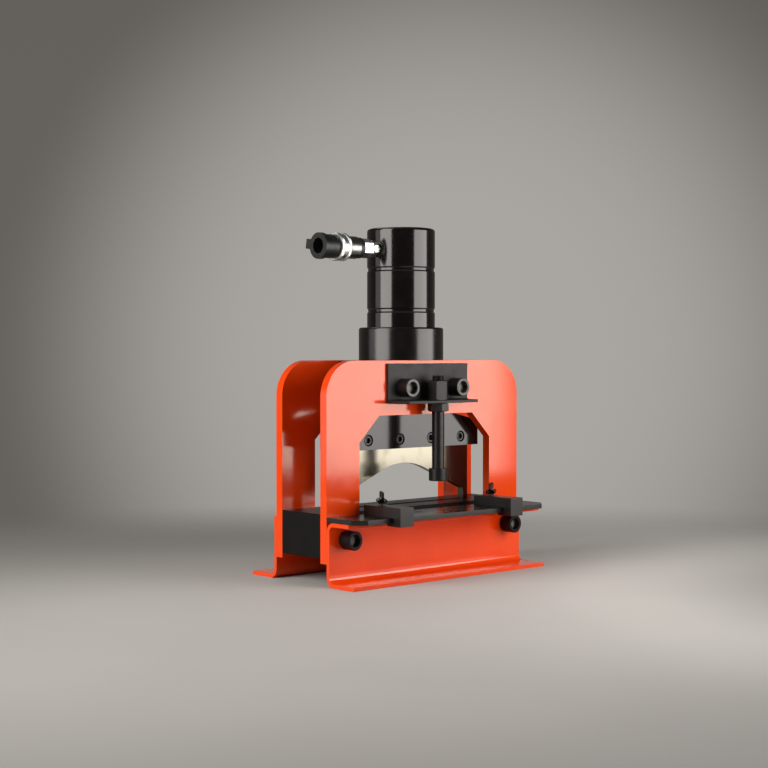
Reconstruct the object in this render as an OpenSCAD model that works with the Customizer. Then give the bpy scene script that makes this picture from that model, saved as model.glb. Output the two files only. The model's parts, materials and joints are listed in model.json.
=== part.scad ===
// Hydraulic busbar cutter: a bench shear for flat bars, worked by a remote pump.
// The floor is z = 0, the bars go in along Y from the front (-Y), and the cylinder stands on top.

/* [Frame plates] */
// Width of the frame plates, the feet, the table and the die block
frame_w = 340; // [320:1:400]
// Thickness of each frame plate
plate_t = 12; // [8:0.5:16]
// Clear distance between the two frame plates
plate_gap = 76; // [74:1:90]
// Height of the plates' lower edge above the floor
plate_bottom = 28; // [15:1:33]
// Height of each frame plate
plate_h = 251; // [247:1:280]
// Radius of the plates' upper corners
plate_corner_r = 45; // [20:1:60]
// Width of the window in the plates
window_w = 232; // [210:1:240]
// Height of the window in the plates
window_h = 126; // [115:1:130]
// Chamfer in the upper corners of the window
window_chamfer = 33; // [15:1:40]
// How far the window's sill lies below the die's top face
sill_drop = 6; // [3:0.5:10]

/* [Feet and table] */
// Thickness of the bent sheet of the feet
sheet_t = 5; // [3:0.5:6]
// Inside radius of the bends
bend_r = 7; // [4:0.5:9]
// Height of the foot brackets
bracket_h = 80; // [78:1:84]
// Reach of each foot from the plate's face
foot_reach = 51; // [40:1:65]
// Reach of the shelf under the table from the plate's face
shelf_reach = 41.5; // [36:0.5:46]
// Thickness of the table
table_t = 6; // [5:0.5:9]
// Depth of the table from the plate's face
table_depth = 60.5; // [58:0.5:80]
// Chamfer at the front corners of the table
table_chamfer = 15; // [5:1:25]
// Thread of the countersunk screws that hold the table
table_screw_d = 6; // [5:1:8]
// Pitch of the screws that hold the table
table_screw_pitch = 80; // [60:1:85]

/* [Die block] */
// Height of the die block
die_h = 55; // [48:1:60]
// Step from the table's top face up to the die's top face
die_step = 3; // [1:0.5:6]

/* [Frame screws] */
// Thread of the frame screws
frame_screw_d = 16; // [12:1:18]
// Distance between the two upper screws
upper_screw_span = 90; // [86:1:110]
// Depth of the upper screws below the plates' top edge
upper_drop = 35; // [28:1:38]
// Height of the lower screws above the floor
lower_screw_z = 57; // [50:1:60]
// Depth of thread in the head block and the die block
thread_depth = 20; // [12:1:22]
// Thickness of the lock washers
washer_t = 2.5; // [1.5:0.1:4]

/* [Blade] */
// Thickness of the blade
blade_t = 10; // [6:0.5:12]
// Width of the blade
blade_w = 238; // [232:1:246]
// Width of the guide leg at each end of the blade
leg_w = 8.5; // [6:0.5:12]
// How far the legs reach into the die with the blade up
leg_entry = 9; // [4:1:20]
// Opening between the die and the crown of the cutting edge
blade_open = 54; // [45:1:60]
// Slope of the cutting edge
edge_angle = 23.5; // [18:0.5:26]
// Radius at the crown of the cutting edge
edge_r = 95; // [60:1:110]
// Steel between the crown of the edge and the holder
blade_web = 21.5; // [14:0.5:24]
// Depth of the blade in its holder
blade_grip = 28; // [20:1:30]

/* [Blade holder] */
// Width of the blade holder
holder_w = 230; // [220:1:240]
// Thickness of the blade holder
holder_t = 58; // [50:1:66]
// Height of the holder at its ends
holder_end_h = 32; // [26:0.5:34]
// Rise of the holder's curved top from its ends to the middle
holder_rise = 17.5; // [14:0.5:22]
// Thread of the screws in the holder
holder_screw_d = 8; // [6:1:9]
// Pitch of the screws that clamp the blade
blade_screw_pitch = 55; // [45:1:58]
// Height of those screws above the holder's lower face
blade_screw_rise = 12; // [9:0.5:15]
// Steel left behind the tips of those screws
blade_screw_wall = 8; // [4:0.5:12]
// Depth of the heads of the screws into the rod, from the holder's lower face
holder_screw_recess = 9; // [6:0.5:12]

/* [Cylinder] */
// Outside diameter of the barrel
barrel_d = 90; // [84:1:98]
// Bore of the barrel
bore_d = 63; // [60:1:66]
// Height of the barrel above the frame plates
barrel_h = 173; // [165:1:200]
// Thickness of the barrel's closed end
top_wall = 18; // [14:1:22]
// Edge radius at the barrel's closed end
barrel_edge_r = 4; // [1:0.5:6]
// Diameter of the barrel's threaded nose
nose_d = 76; // [72:1:78]
// Length of the barrel's threaded nose
nose_l = 32; // [24:1:36]
// Outside diameter of the collar
collar_d = 112; // [106:1:130]
// Height of the collar
collar_h = 43; // [30:1:55]
// Edge radius of the collar
collar_edge_r = 3; // [1:0.5:5]
// Width of the turned grooves in the barrel
groove_w = 6.5; // [5:0.5:9]
// Depth of the turned grooves in the barrel
groove_depth = 1.3; // [0.5:0.1:2]
// Run of each sloping wall of those grooves
groove_run = 1.8; // [0.5:0.1:2]
// Height of the lower groove above the frame plates
lower_groove = 65; // [60:1:75]
// Height of the upper groove above the frame plates
upper_groove = 119; // [85:1:125]

/* [Ram] */
// Diameter of the piston rod
rod_d = 40; // [38:1:42]
// Diameter of the rod's threaded end in the piston
spigot_d = 24; // [18:1:26]
// Thickness of the piston
piston_t = 22; // [20:1:30]
// Height of the piston nut
piston_nut_h = 14; // [10:1:16]
// Radial depth of the piston's ring grooves
ring_depth = 5; // [3:0.5:6]
// Wire of the return spring
spring_wire = 6; // [4:0.5:7]
// Turns of the return spring
spring_turns = 9; // [6:1:11]

/* [Head block] */
// Width of the head block between the plates
head_w = 150; // [140:1:180]
// Depth of the head block's lower face below the plates' top edge
head_h = 54; // [52:1:58]
// Depth of the head block's upper face below the plates' top edge
head_sink = 1; // [0.5:0.5:3]
// Wall of the rod bush
bush_wall = 6; // [3:0.5:7]
// Height of the rod wiper
wiper_h = 6; // [4:0.5:8]
// Height of the bush's flange under the spring
bush_flange_h = 5; // [3:0.5:8]

/* [Hold-down] */
// Thickness of the hold-down bracket
angle_t = 3.5; // [2.5:0.5:6]
// Width of the hold-down bracket
angle_w = 142; // [130:1:170]
// Height of the hold-down bracket
angle_h = 51; // [44:1:54]
// Distance from the bracket's lower face up to the upper screws
angle_drop = 20; // [18:1:24]
// Reach of the hold-down bracket from the plate's face
angle_reach = 33; // [30:1:42]
// Chamfer at the front corners of the hold-down bracket
angle_chamfer = 10; // [4:1:14]
// Distance of the hold-down screw from the plate's face
hold_reach = 21; // [19:0.5:24]
// Thread of the hold-down screw
hold_screw_d = 16; // [12:1:16]
// Length of the hold-down screw under its head
hold_screw_l = 120; // [118:1:150]
// Clear height under the hold-down screw over the die's top face
hold_open = 34.5; // [30:0.5:38]
// Height of the tall nut
hold_nut_h = 25.5; // [16:0.5:30]
// Height of the lock nut
lock_nut_h = 11; // [6:0.5:14]
// Turn of the tall nut's corners from the frame's width
hold_nut_turn = 38; // [0:1:60]
// Turn of the lock nut's corners from the frame's width
lock_nut_turn = 8; // [0:1:60]

/* [Guides] */
// Width of each side guide
guide_w = 22.5; // [16:0.5:30]
// Height of the guides above the table
guide_h = 13; // [8:0.5:18]
// Thickness of the hook in front of the table
guide_hook_t = 14; // [8:0.5:18]
// Reach of the hook's lip under the table
guide_lip = 10; // [4:0.5:12]
// Thickness of the hook's lip
guide_lip_t = 4; // [2.5:0.5:6]
// Gap between the guides and the plate's face
guide_back = 7; // [3:0.5:12]
// Distance of the left guide from the middle
left_guide_x = 104; // [70:1:130]
// Distance of the right guide from the middle
right_guide_x = 91; // [70:1:130]
// Distance of the wing screws from the plate's face
wing_reach = 28; // [20:1:34]
// Thread of the wing screws
wing_screw_d = 6; // [5:0.5:8]
// Span of the wings
wing_span = 24; // [18:1:30]
// Height of the wings
wing_h = 14.5; // [12:0.5:22]
// Thickness of the pressed sheet of the wings
wing_sheet = 1.1; // [0.8:0.1:1.6]
// Gap between the wings and the guide
wing_seat = 2.5; // [1:0.5:5]
// Direction that the left wings point to, turned from the bars' direction
wing_turn = 34; // [0:1:90]
// How much further the right wings are turned
wing_turn_step = 21; // [0:1:90]

/* [Coupler] */
// Depth of the oil port below the barrel's closed end
port_drop = 10; // [9:0.5:12]
// Diameter of the adapter's neck in the barrel
neck_d = 17; // [14:0.5:18]
// Length of the neck outside the barrel
neck_l = 12; // [6:0.5:14]
// Width across the flats of the adapter
adapter_af = 22; // [19:0.5:26]
// Length of the adapter's hexagon
adapter_l = 16.5; // [14:0.5:26]
// Diameter of the coupler's body
coupler_d = 29; // [28:0.5:32]
// Length of the coupler's body
coupler_l = 18; // [16:0.5:28]
// Edge radius at the outer end of the coupler's body
coupler_edge_r = 3; // [0.5:0.5:3]
// Diameter of the black band behind the coupler's body
band_d = 27; // [23:0.5:27.5]
// Length of the black band behind the coupler's body
band_l = 7.5; // [2:0.5:9]
// Outside diameter of the coupler's sleeve
sleeve_d = 36; // [34:0.5:42]
// Length of the coupler's sleeve
sleeve_l = 16.5; // [14:0.5:22]
// Wall of the coupler's sleeve
sleeve_wall = 3.7; // [2.5:0.1:4]
// Width of the hollow groove round the coupler's sleeve
sleeve_groove_w = 8; // [3:0.5:10]
// Depth of the hollow groove round the coupler's sleeve
sleeve_groove_depth = 0.7; // [0.2:0.1:1]
// Diameter of the dust cap between the sleeve and its flange
cap_d = 30.5; // [28:0.5:32]
// Diameter of the dust cap's flange
cap_flange_d = 33.5; // [32:0.5:40]
// Thickness of the dust cap's flange
cap_flange_t = 6; // [3:0.5:8]
// Length of the dust cap outside the sleeve
cap_l = 25.5; // [18:0.5:32]
// Diameter of the hollow in the dust cap
cap_hollow_d = 20; // [14:0.5:22]
// Depth of the hollow in the dust cap
cap_hollow_depth = 16; // [8:0.5:20]
// Reach of the dust cap's lug beyond its flange
lug_reach = 7.5; // [4:0.5:12]
// Width of the dust cap's lug
lug_w = 12.5; // [8:0.5:16]
// Turn of the dust cap's lug, up from the rear
lug_turn = 9; // [-30:1:90]

/* [Fits] */
// Radial clearance of parts that run in each other
fit_gap = 0.05; // [0.02:0.01:0.1]
// Radial clearance of screw threads
thread_gap = 0.1; // [0.05:0.01:0.1]
// Radial clearance of screws in plain holes
hole_gap = 0.75; // [0.4:0.05:1]
// Clearance of sliding flats
slide_gap = 0.3; // [0.1:0.05:0.5]
// Gap beside the blade in the die's slot, at each face
shear_gap = 0.2; // [0.1:0.05:0.4]
// Gap at each end of the blade in the die's slot
slot_end_gap = 1; // [0.3:0.1:2]

/* [Hidden] */
$fn = 64;
eps = 0.01;

// Colours, as seen
orange_paint = [0.91, 0.26, 0.08];
black_paint = [0.06, 0.06, 0.065];
black_oxide = [0.10, 0.10, 0.11];
bright_steel = [0.78, 0.79, 0.80];
plated_steel = [0.70, 0.71, 0.72];
spring_steel = [0.42, 0.44, 0.46];
bronze = [0.66, 0.50, 0.28];
seal_rubber = [0.05, 0.05, 0.05];
cap_plastic = [0.16, 0.16, 0.16];

// Heights of the frame
plate_face = plate_gap / 2 + plate_t;
plate_top = plate_bottom + plate_h;
table_top = bracket_h + table_t;
die_top = table_top + die_step;
window_bottom = die_top - sill_drop;
head_bottom = plate_top - head_h;
upper_screw_x = upper_screw_span / 2;
upper_screw_z = plate_top - upper_drop;
lower_screw_x = (window_w + frame_w) / 4;

// Heights of the ram with the blade up
crown_z = die_top + blade_open;
holder_bottom = crown_z + blade_web;
blade_top = holder_bottom + blade_grip;
holder_top = holder_bottom + holder_end_h + holder_rise;
holder_seat_depth = 8;
rod_foot = holder_top - holder_seat_depth;
barrel_top = plate_top + barrel_h;
chamber_top = barrel_top - top_wall;
piston_top = chamber_top - slide_gap - piston_nut_h;
piston_bottom = piston_top - piston_t;
nose_bottom = plate_top - nose_l;
bush_r = rod_d / 2 + bush_wall;
spring_bottom = nose_bottom + bush_flange_h;
port_z = chamber_top - port_drop;

// Hold-down and guides
angle_bottom = upper_screw_z - angle_drop;
angle_fillet_r = 3;
hold_y = -plate_face - hold_reach;
hold_foot = die_top + hold_open;
table_front = plate_face + table_depth;
guide_front = table_front + slide_gap + guide_hook_t;
guide_top = table_top + guide_h;
wing_y = -plate_face - wing_reach;

// Stations along the coupler, measured from the barrel's axis
port_thread_l = 9.5;
oilway_d = 6;
neck_end = barrel_d / 2 + neck_l;
adapter_end = neck_end + adapter_l;
adapter_thread_l = 10;
adapter_thread_d = 15;
body_start = adapter_end + band_l;
body_end = body_start + coupler_l;
sleeve_play = 1;
sleeve_start = body_end + sleeve_play;
sleeve_end = sleeve_start + sleeve_l;
sleeve_bore_r = sleeve_d / 2 - sleeve_wall;
sleeve_web = 3;
nose_r = 11;
nose_lip = 1.5;
nose_lip_t = 2;
nose_tip_r = 9.5;
nose_tip_l = 6;
valve_r = 4.5;
valve_l = 10;
valve_seat_depth = 4;
valve_shoulder = body_end + valve_seat_depth;
plug_play = 4;
cap_plug_l = sleeve_l - sleeve_web - plug_play;
cap_end = sleeve_end + cap_l;

// The origin is at the middle of the footprint, so the cylinder stands a little behind it
front_reach = max(guide_front, plate_face + foot_reach);
rear_reach = plate_face + foot_reach;
axis_y = (front_reach - rear_reach) / 2;

// Places its children around the cylinder's axis
module at_axis() {
  translate([0, axis_y, 0]) children();
}

// Places its children along the coupler, which leaves the barrel to the left
module at_port() {
  translate([0, axis_y, port_z]) rotate([0, -90, 0]) children();
}

// Turns a flat outline in X and Z into a plate whose rear face is at y
module upright(y, t) {
  translate([0, y, 0]) rotate([90, 0, 0]) linear_extrude(t) children();
}

// A round rod lying along Y from y0 to y1
module rod_y(x, z, y0, y1, r) {
  translate([x, y0, z]) rotate([-90, 0, 0]) cylinder(h = y1 - y0, r = r);
}

// A turned bar with one rounded outer edge at its top
module turned_profile(r, h, edge_r) {
  square([r, h - edge_r]);
  translate([0, h - edge_r]) square([r - edge_r, edge_r]);
  translate([r - edge_r, h - edge_r]) circle(edge_r);
}

// A plain ring standing on z = 0
module ring(r_out, r_in, h) {
  difference() {
    cylinder(h = h, r = r_out);
    translate([0, 0, -1]) cylinder(h = h + 2, r = r_in);
  }
}

// A hexagonal bar of width af across its flats, with the corners of both ends turned off at 30 degrees
module hex_bar(af, h) {
  corner_r = af / 2 / cos(30);
  face_r = 0.475 * af;
  turned = (corner_r - face_r) * tan(30);
  intersection() {
    cylinder(h = h, r = corner_r, $fn = 6);
    rotate_extrude() polygon([
      [0, 0], [face_r, 0], [corner_r, turned], [corner_r, h - turned], [face_r, h], [0, h]
    ]);
  }
}

// A hexagon nut with a round hole
module hex_nut(af, h, hole_r) {
  difference() {
    hex_bar(af, h);
    translate([0, 0, -1]) cylinder(h = h + 2, r = hole_r);
  }
}

// A socket-head screw, seated at z = 0 with its head upwards
module cap_screw(d, length) {
  head_r = 0.75 * d;
  edge = 0.05 * d;
  tip = 0.06 * d;
  mouth = 0.075 * d;
  socket_r = 0.425 * d;
  difference() {
    rotate_extrude() polygon([
      [0, -length], [d / 2 - tip, -length], [d / 2, tip - length], [d / 2, 0],
      [head_r, 0], [head_r, d - edge], [head_r - edge, d], [0, d]
    ]);
    translate([0, 0, d / 2]) cylinder(h = d, r = socket_r / cos(30), $fn = 6);
    translate([0, 0, d - mouth]) cylinder(h = 2 * mouth, r1 = socket_r, r2 = socket_r + 2 * mouth);
  }
}

// A countersunk screw pointing down, with its flat head at z = 0
module flat_screw(d, length) {
  difference() {
    rotate_extrude() polygon([[0, -length], [d / 2, -length], [d / 2, -d / 2], [d, 0], [0, 0]]);
    translate([0, 0, -0.4 * d]) cylinder(h = d, r = d / 3 / cos(30), $fn = 6);
  }
}

// A split lock washer standing on z = 0
module lock_washer(d) {
  difference() {
    ring(0.75 * d - 0.3, d / 2 + 0.3, washer_t);
    translate([0, -d / 16, -1]) cube([d, d / 8, washer_t + 2]);
  }
}

// A coil spring along Z with closed ends, wound as one tube
module coil_spring(mean_r, wire, turns, length) {
  rings_per_turn = 16;
  sides = 8;
  rings = round(turns * rings_per_turn);
  run = length - wire;
  end_pitch = wire * 1.1;
  mid_pitch = (run - 2 * end_pitch) / (turns - 2);
  function rise(u) = u < 1 ? end_pitch * u
    : u > turns - 1 ? run - end_pitch * (turns - u)
    : end_pitch + mid_pitch * (u - 1);
  function spot(i, k) = let (
      u = turns * i / rings,
      a = 360 * k / sides,
      r = mean_r + wire / 2 * cos(a)
    ) [r * cos(360 * u), r * sin(360 * u), wire / 2 + rise(u) + wire / 2 * sin(a)];
  spots = [for (i = [0:rings], k = [0:sides - 1]) spot(i, k)];
  skin = [
    for (i = [0:rings - 1], k = [0:sides - 1])
      let (a = i * sides + k, b = i * sides + (k + 1) % sides)
        each [[a, a + sides, b], [b, a + sides, b + sides]]
  ];
  first_end = [for (k = [1:sides - 2]) [0, k, k + 1]];
  last = rings * sides;
  last_end = [for (k = [1:sides - 2]) [last, last + k + 1, last + k]];
  polyhedron(points = spots, faces = concat(skin, first_end, last_end));
}

// Holes for the frame screws in a plate or sheet between y0 and y1
module frame_holes(x, z, y0, y1) {
  for (side = [-1, 1]) rod_y(side * x, z, y0, y1, frame_screw_d / 2 + hole_gap);
}

// Threaded holes in a block, from its front face and its rear face
module block_threads(x, z) {
  inner = plate_gap / 2 - thread_depth - 2;
  for (side = [-1, 1]) {
    rod_y(side * x, z, -plate_gap / 2 - 1, -inner, frame_screw_d / 2 + thread_gap);
    rod_y(side * x, z, inner, plate_gap / 2 + 1, frame_screw_d / 2 + thread_gap);
  }
}

module frame_plate(y_rear) {
  difference() {
    upright(y_rear, plate_t) difference() {
      translate([0, plate_bottom]) union() {
        for (side = [-1, 1])
          translate([side * (frame_w / 2 - plate_corner_r), plate_h - plate_corner_r])
            circle(plate_corner_r);
        translate([-frame_w / 2, 0]) square([frame_w, plate_h - plate_corner_r]);
        translate([-frame_w / 2 + plate_corner_r, 0]) square([frame_w - 2 * plate_corner_r, plate_h]);
      }
      translate([0, window_bottom]) polygon([
        [-window_w / 2, 0], [window_w / 2, 0], [window_w / 2, window_h - window_chamfer],
        [window_w / 2 - window_chamfer, window_h], [window_chamfer - window_w / 2, window_h],
        [-window_w / 2, window_h - window_chamfer]
      ]);
    }
    frame_holes(upper_screw_x, upper_screw_z, y_rear - plate_t - 1, y_rear + 1);
    frame_holes(lower_screw_x, lower_screw_z, y_rear - plate_t - 1, y_rear + 1);
  }
}

module front_frame_plate() {
  color(orange_paint) at_axis() frame_plate(-plate_gap / 2);
}

module rear_frame_plate() {
  color(orange_paint) at_axis() frame_plate(plate_face);
}

// Quarter bend of the sheet, from the web at the left to a flange along the bottom
module sheet_bend() {
  outer = bend_r + sheet_t;
  intersection() {
    square(outer);
    translate([outer, outer]) difference() {
      circle(outer);
      circle(bend_r);
    }
  }
}

// Section of a foot bracket: web, foot and, at the front, the shelf
module foot_section(shelf) {
  outer = bend_r + sheet_t;
  sheet_bend();
  translate([outer, 0]) square([foot_reach - outer, sheet_t]);
  translate([0, outer]) square([sheet_t, bracket_h - (shelf ? 2 : 1) * outer]);
  if (shelf) {
    translate([0, bracket_h]) mirror([0, 1]) sheet_bend();
    translate([outer, bracket_h - sheet_t]) square([shelf_reach - outer, sheet_t]);
  }
}

// A foot bracket behind the rear plate, along X
module foot_bracket(shelf) {
  difference() {
    translate([-frame_w / 2, plate_face, 0]) rotate([90, 0, 90]) linear_extrude(frame_w) foot_section(shelf);
    frame_holes(lower_screw_x, lower_screw_z, plate_face - 1, plate_face + sheet_t + 1);
    if (shelf) at_table_screws() translate([0, 0, -table_t - sheet_t - 1])
      cylinder(h = sheet_t + 2, r = table_screw_d / 2 + thread_gap);
  }
}

// Places its children on the table's top face at the table screws, behind the rear plate
module at_table_screws() {
  for (i = [-1.5:1:1.5])
    translate([i * table_screw_pitch, plate_face + (shelf_reach + sheet_t + bend_r) / 2, table_top])
      children();
}

module front_foot_bracket() {
  color(orange_paint) at_axis() mirror([0, 1, 0]) foot_bracket(true);
}

module rear_foot_bracket() {
  color(orange_paint) at_axis() foot_bracket(false);
}

module front_table() {
  color(black_paint) at_axis() mirror([0, 1, 0]) difference() {
    translate([0, plate_face, bracket_h]) linear_extrude(table_t) polygon([
      [-frame_w / 2, 0], [frame_w / 2, 0], [frame_w / 2, table_depth - table_chamfer],
      [frame_w / 2 - table_chamfer, table_depth], [table_chamfer - frame_w / 2, table_depth],
      [-frame_w / 2, table_depth - table_chamfer]
    ]);
    at_table_screws() {
      translate([0, 0, -table_t - 1]) cylinder(h = table_t + 2, r = table_screw_d / 2 + hole_gap / 2);
      translate([0, 0, -table_screw_d / 2 - slide_gap])
        cylinder(
          h = table_screw_d, r1 = table_screw_d / 2 + thread_gap, r2 = 1.5 * table_screw_d + thread_gap
        );
    }
  }
}

module table_screws() {
  tip_wall = 1;
  color(black_oxide) at_axis() mirror([0, 1, 0]) at_table_screws()
    translate([0, 0, -slide_gap]) flat_screw(table_screw_d, table_t + sheet_t - slide_gap - tip_wall);
}

module die_block() {
  slot_w = blade_w + 2 * slot_end_gap;
  slot_t = blade_t + 2 * shear_gap;
  color(black_oxide) at_axis() difference() {
    translate([-frame_w / 2, -plate_gap / 2, die_top - die_h]) cube([frame_w, plate_gap, die_h]);
    translate([-slot_w / 2, -slot_t / 2, die_top - die_h - 1]) cube([slot_w, slot_t, die_h + 2]);
    block_threads(lower_screw_x, lower_screw_z);
  }
}

module head_block() {
  color(black_paint) at_axis() difference() {
    translate([-head_w / 2, -plate_gap / 2, head_bottom]) cube([head_w, plate_gap, head_h - head_sink]);
    translate([0, 0, nose_bottom]) cylinder(h = nose_l + 1, r = nose_d / 2 + thread_gap);
    translate([0, 0, head_bottom - 1]) cylinder(h = head_h, r = bush_r + fit_gap);
    block_threads(upper_screw_x, upper_screw_z);
  }
}

module hold_down_bracket() {
  color(black_paint) at_axis() mirror([0, 1, 0]) difference() {
    translate([0, plate_face, angle_bottom]) union() {
      translate([-angle_w / 2, 0, 0]) cube([angle_w, angle_t, angle_h]);
      linear_extrude(angle_t) polygon([
        [-angle_w / 2, 0], [angle_w / 2, 0], [angle_w / 2, angle_reach - angle_chamfer],
        [angle_w / 2 - angle_chamfer, angle_reach], [angle_chamfer - angle_w / 2, angle_reach],
        [-angle_w / 2, angle_reach - angle_chamfer]
      ]);
      translate([-angle_w / 2, angle_t, angle_t]) rotate([90, 0, 90]) linear_extrude(angle_w) difference() {
        square(angle_fillet_r);
        translate([angle_fillet_r, angle_fillet_r]) circle(angle_fillet_r);
      }
    }
    frame_holes(upper_screw_x, upper_screw_z, plate_face - 1, plate_face + angle_t + 1);
    translate([0, -hold_y, angle_bottom - 1]) cylinder(h = angle_t + 2, r = hold_screw_d / 2 + hole_gap);
  }
}

// A pair of frame screws behind a rear face at y, through the parts between that face and the block
module frame_screw_pair(x, z, y) {
  for (side = [-1, 1])
    translate([side * x, y + washer_t, z]) rotate([-90, 0, 0])
      cap_screw(frame_screw_d, y + washer_t - plate_gap / 2 + thread_depth);
}

// The lock washers under that pair
module frame_washer_pair(x, z, y) {
  for (side = [-1, 1]) translate([side * x, y, z]) rotate([-90, 0, 0]) lock_washer(frame_screw_d);
}

module upper_front_screws() {
  color(black_oxide) at_axis() mirror([0, 1, 0])
    frame_screw_pair(upper_screw_x, upper_screw_z, plate_face + angle_t);
}

module upper_rear_screws() {
  color(black_oxide) at_axis() frame_screw_pair(upper_screw_x, upper_screw_z, plate_face);
}

module lower_screws() {
  color(black_oxide) at_axis() for (turn = [0, 1])
    mirror([0, turn, 0]) frame_screw_pair(lower_screw_x, lower_screw_z, plate_face + sheet_t);
}

module lock_washers() {
  color(black_oxide) at_axis() {
    mirror([0, 1, 0]) frame_washer_pair(upper_screw_x, upper_screw_z, plate_face + angle_t);
    frame_washer_pair(upper_screw_x, upper_screw_z, plate_face);
    for (turn = [0, 1])
      mirror([0, turn, 0]) frame_washer_pair(lower_screw_x, lower_screw_z, plate_face + sheet_t);
  }
}

module cylinder_barrel() {
  color(black_paint) difference() {
    at_axis() rotate_extrude($fn = 128) difference() {
      union() {
        translate([0, plate_top]) turned_profile(barrel_d / 2, barrel_h, barrel_edge_r);
        translate([0, nose_bottom]) square([nose_d / 2, nose_l + eps]);
      }
      translate([-1, nose_bottom - 1]) square([bore_d / 2 + 1, chamber_top - nose_bottom + 1]);
      for (h = [lower_groove, upper_groove]) translate([barrel_d / 2, plate_top + h]) polygon([
        [0, -groove_w / 2], [1, -groove_w / 2], [1, groove_w / 2], [0, groove_w / 2],
        [-groove_depth, groove_w / 2 - groove_run], [-groove_depth, groove_run - groove_w / 2]
      ]);
    }
    at_port() cylinder(h = barrel_d, r = oilway_d / 2);
    at_port() translate([0, 0, barrel_d / 2 - port_thread_l])
      cylinder(h = barrel_d, r = neck_d / 2 + thread_gap);
  }
}

module cylinder_collar() {
  color(black_paint) at_axis() translate([0, 0, plate_top]) rotate_extrude($fn = 128) difference() {
    turned_profile(collar_d / 2, collar_h, collar_edge_r);
    translate([-1, -1]) square([barrel_d / 2 + thread_gap + 1, collar_h + 2]);
  }
}

module rod_bush() {
  color(bronze) at_axis() translate([0, 0, head_bottom + wiper_h]) rotate_extrude() difference() {
    union() {
      square([bush_r, spring_bottom - head_bottom - wiper_h]);
      translate([0, nose_bottom - head_bottom - wiper_h]) square([bore_d / 2 - slide_gap, bush_flange_h]);
    }
    translate([-1, -1]) square([rod_d / 2 + fit_gap + 1, head_h + bush_flange_h]);
  }
}

module rod_wiper() {
  color(seal_rubber) at_axis() translate([0, 0, head_bottom]) ring(bush_r, rod_d / 2 + fit_gap, wiper_h);
}

module return_spring() {
  mean_r = (rod_d + bore_d) / 4;
  color(spring_steel) at_axis() translate([0, 0, spring_bottom])
    coil_spring(mean_r, spring_wire, spring_turns, piston_bottom - spring_bottom);
}

// The two ring grooves of the piston share its height in parts of eleven
seal_z = piston_bottom + piston_t * 6 / 11;
seal_h = piston_t * 4 / 11;
wear_z = piston_bottom + piston_t / 11;
wear_h = piston_t * 4 / 11;
groove_r = bore_d / 2 - ring_depth;

module piston() {
  color(plated_steel) at_axis() difference() {
    translate([0, 0, piston_bottom]) cylinder(h = piston_t, r = bore_d / 2 - 2 * fit_gap);
    translate([0, 0, piston_bottom - 1]) cylinder(h = piston_t + 2, r = spigot_d / 2 + thread_gap);
    translate([0, 0, seal_z]) ring(bore_d, groove_r, seal_h);
    translate([0, 0, wear_z]) ring(bore_d, groove_r, wear_h);
  }
}

module piston_seal() {
  color(seal_rubber) at_axis() translate([0, 0, seal_z]) ring(bore_d / 2 - fit_gap, groove_r, seal_h);
}

module piston_wear_ring() {
  color(bronze) at_axis() translate([0, 0, wear_z]) ring(bore_d / 2 - fit_gap, groove_r, wear_h);
}

module piston_nut() {
  color(plated_steel) at_axis() translate([0, 0, piston_top])
    hex_nut(1.5 * spigot_d, piston_nut_h, spigot_d / 2 + thread_gap);
}

// Places its children under the rod's foot, at the two screws that hold the holder
module at_holder_screws() {
  for (side = [-1, 1]) translate([0, side * 0.35 * rod_d, rod_foot]) children();
}

holder_screw_engaged = 2 * holder_screw_d;
holder_screw_grip = rod_foot - holder_bottom - holder_screw_d - holder_screw_recess;

module piston_rod() {
  color(bright_steel) at_axis() difference() {
    union() {
      translate([0, 0, rod_foot]) cylinder(h = piston_bottom - rod_foot, r = rod_d / 2);
      translate([0, 0, piston_bottom - eps]) cylinder(h = piston_t + piston_nut_h - 1, r = spigot_d / 2);
    }
    at_holder_screws() translate([0, 0, -1])
      cylinder(h = holder_screw_engaged + 3, r = holder_screw_d / 2 + thread_gap);
  }
}

// Places its children on the holder's front face at the four screws that clamp the blade
module at_blade_screws() {
  for (i = [-1.5:1:1.5])
    translate([i * blade_screw_pitch, -holder_t / 2, holder_bottom + blade_screw_rise]) children();
}

blade_screw_sink = holder_screw_d + 1;
blade_screw_l = holder_t - blade_screw_sink - blade_screw_wall;

module blade_holder() {
  top_r = (holder_w * holder_w / 4 + holder_rise * holder_rise) / (2 * holder_rise);
  slot_t = blade_t + 2 * fit_gap;
  color(black_paint) at_axis() difference() {
    upright(holder_t / 2, holder_t) intersection() {
      translate([-holder_w / 2, holder_bottom]) square([holder_w, holder_end_h + holder_rise]);
      translate([0, holder_top - top_r]) circle(top_r, $fn = 256);
    }
    translate([-holder_w, -slot_t / 2, holder_bottom - 1])
      cube([2 * holder_w, slot_t, blade_grip + 1 + slide_gap]);
    translate([0, 0, rod_foot]) cylinder(h = holder_rise, r = rod_d / 2 + fit_gap);
    at_blade_screws() {
      rod_y(0, 0, -1, blade_screw_sink, 0.75 * holder_screw_d + 1.5);
      rod_y(0, 0, 0, blade_screw_sink + blade_screw_l + 2, holder_screw_d / 2 + thread_gap);
    }
    at_holder_screws() {
      translate([0, 0, -2 * holder_bottom - holder_screw_grip])
        cylinder(h = 2 * holder_bottom, r = 0.75 * holder_screw_d + 0.5);
      translate([0, 0, -holder_bottom])
        cylinder(h = 2 * holder_bottom, r = holder_screw_d / 2 + hole_gap / 2);
    }
  }
}

module holder_screws() {
  color(black_oxide) at_axis() at_holder_screws() translate([0, 0, -holder_screw_grip])
    rotate([180, 0, 0]) cap_screw(holder_screw_d, holder_screw_grip + holder_screw_engaged);
}

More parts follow.
